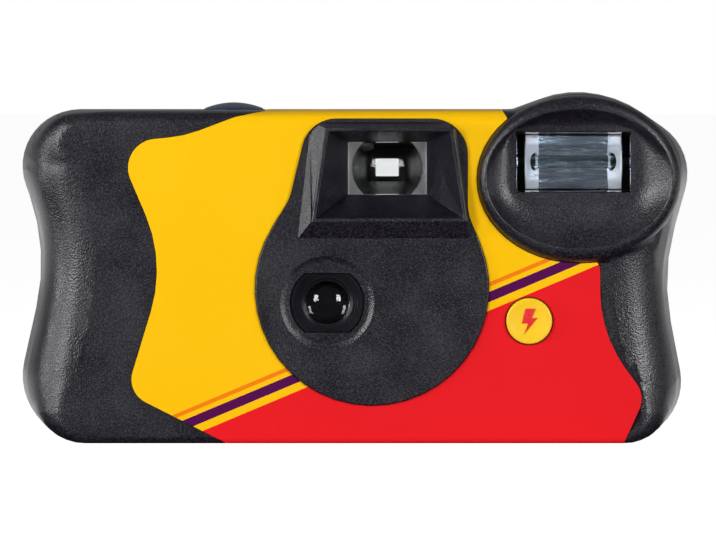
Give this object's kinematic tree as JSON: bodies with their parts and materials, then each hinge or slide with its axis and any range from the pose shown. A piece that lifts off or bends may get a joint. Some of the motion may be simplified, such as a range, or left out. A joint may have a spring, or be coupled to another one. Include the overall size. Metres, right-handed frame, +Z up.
{
  "type": "disposable film camera",
  "caption": "Single-use 35 mm film camera with viewfinder hood, fixed lens, flash pod, push buttons, thumbwheel advance and hinged film door.",
  "frame": {"origin": "centre of the overall box at the level of the flat bottom", "axes": "+X towards the flash side, -Y out of the lens at the front, +Z up"},
  "size_m": [0.118, 0.038, 0.0617],
  "materials": {
    "black_plastic": "fine grained black moulding",
    "rear_black_plastic": "fine grained black moulding",
    "door_black_plastic": "fine grained black moulding",
    "printed_label": "glossy printed sheet",
    "button_plastic": "polished slate blue",
    "flash_button_plastic": "polished yellow",
    "wheel_plastic": "moulded grey-black",
    "clear_flash_plastic": "clear ribbed",
    "clear_finder_front": "clear polished",
    "clear_finder_rear": "clear polished",
    "clear_counter": "clear polished",
    "clear_orange": "clear tinted rod",
    "cassette_tin": "painted tinplate",
    "cassette_cap_tin": "pressed tinplate",
    "spool_plastic": "black moulding",
    "film_base": "coated film",
    "film_wound": "wound film",
    "supply_spool_plastic": "black moulding",
    "frame_plastic": "matt black moulding",
    "lens_plastic": "polished optical plastic",
    "retainer_plastic": "matt black moulding",
    "stop_sheet": "blackened sheet",
    "blade_sheet": "blackened sheet",
    "shutter_spring_steel": "spring wire",
    "striker_plastic": "natural acetal",
    "striker_spring_steel": "spring wire",
    "metering_plastic": "natural acetal",
    "metering_spring_steel": "spring wire",
    "sprocket_plastic": "natural acetal",
    "dial_plastic": "white moulding",
    "button_spring_steel": "spring wire",
    "board_paper": "laminated board",
    "component_body": "coated components",
    "capacitor_sleeve": "shrink sleeve",
    "transformer_tape": "taped winding",
    "coil_winding": "lacquered winding",
    "lamp_glass": "neon lamp glass",
    "reflector_foil": "bright rolled sheet",
    "tube_glass": "xenon tube glass",
    "electrode_metal": "wire",
    "battery_jacket": "plain jacket",
    "contact_plus_metal": "plated strip",
    "contact_minus_metal": "plated strip",
    "switch_metal": "plated strip",
    "sync_metal": "plated strip"
  },
  "bodies": {
    "body": {"front_cover": "black_plastic", "rear_cover": "rear_black_plastic", "label": "printed_label", "flash_window": "clear_flash_plastic", "viewfinder_front_lens": "clear_finder_front", "viewfinder_eyepiece": "clear_finder_rear", "counter_window": "clear_counter", "ready_light_pipe": "clear_orange", "cassette_shell": "cassette_tin", "cassette_caps": "cassette_cap_tin", "film_strip": "film_base", "main_frame": "frame_plastic", "taking_lens": "lens_plastic", "lens_retainer": "retainer_plastic", "aperture_plate": "stop_sheet", "shutter_spring": "shutter_spring_steel", "high_energy_spring": "striker_spring_steel", "metering_spring": "metering_spring_steel", "button_spring": "button_spring_steel", "circuit_board": "board_paper", "board_components": "component_body", "flash_capacitor": "capacitor_sleeve", "oscillator_transformer": "transformer_tape", "trigger_coil": "coil_winding", "ready_lamp": "lamp_glass", "flash_reflector": "reflector_foil", "flash_tube": "tube_glass", "tube_electrodes": "electrode_metal", "battery": "battery_jacket", "battery_contact_plus": "contact_plus_metal", "battery_contact_minus": "contact_minus_metal", "flash_switch_strip": "switch_metal", "sync_contacts": "sync_metal"},
    "shutter_button": {"shutter_button": "button_plastic"},
    "flash_button": {"flash_button": "flash_button_plastic"},
    "advance": {"thumbwheel": "wheel_plastic", "cassette_spool": "spool_plastic"},
    "sprocket": {"sprocket_wheel": "sprocket_plastic"},
    "supply": {"film_roll": "film_wound", "supply_spool": "supply_spool_plastic"},
    "counter": {"counter_dial": "dial_plastic"},
    "striker": {"high_energy_lever": "striker_plastic"},
    "blade": {"shutter_blade": "blade_sheet"},
    "metering": {"metering_lever": "metering_plastic"},
    "door": {"film_door": "door_black_plastic"}
  },
  "joints": [
    {"name": "shutter_press", "type": "slide", "parent": "body", "child": "shutter_button", "axis": [0, 0, -1], "range_m": [0, 0.0012], "stiffness_N_per_m": 800, "springref_m": -0.0008, "deforming": ["button_spring"]},
    {"name": "flash_press", "type": "slide", "parent": "body", "child": "flash_button", "axis": [0, 1, 0], "range_m": [0, 0.0007], "stiffness_N_per_m": 900, "springref_m": -0.0006},
    {"name": "wheel_turn", "type": "hinge", "parent": "body", "child": "advance", "pos_m": [-0.0387, 0.0031, 0.0507], "axis": [0, 0, 1], "continuous": true},
    {"name": "sprocket_turn", "type": "hinge", "parent": "body", "child": "sprocket", "pos_m": [-0.0185, 0.00595, 0.045], "axis": [0, 0, 1], "continuous": true},
    {"name": "supply_turn", "type": "hinge", "parent": "body", "child": "supply", "pos_m": [0.031, 0.00255, 0.025], "axis": [0, 0, 1], "continuous": true},
    {"name": "counter_turn", "type": "hinge", "parent": "body", "child": "counter", "pos_m": [-0.0066, 0.00595, 0.055], "axis": [0, 0, 1], "continuous": true},
    {"name": "striker_swing", "type": "hinge", "parent": "body", "child": "striker", "pos_m": [-0.0104, -0.0045, 0.046], "axis": [0, 0, 1], "range_deg": [0, 43], "stiffness_Nm_per_rad": 0.002},
    {"name": "blade_swing", "type": "hinge", "parent": "body", "child": "blade", "pos_m": [-0.0123, -0.0126, 0.0311], "axis": [0, 1, 0], "range_deg": [0, 25]},
    {"name": "metering_rock", "type": "hinge", "parent": "body", "child": "metering", "pos_m": [-0.02, -0.00045, 0.045], "axis": [0, 0, -1], "range_deg": [0, 8], "stiffness_Nm_per_rad": 0.002},
    {"name": "door_swing", "type": "hinge", "parent": "body", "child": "door", "pos_m": [-0.0266, 0, 0.00085], "axis": [0, -1, 0], "range_deg": [0, 100]}
  ],
  "couplings": [
    {"joint": "sprocket_turn", "follows": "wheel_turn", "ratio": 0.90941},
    {"joint": "supply_turn", "follows": "wheel_turn", "ratio": 0.58511},
    {"joint": "counter_turn", "follows": "wheel_turn", "ratio": -0.022735},
    {"joint": "blade_swing", "follows": "striker_swing", "ratio": 0.58}
  ]
}
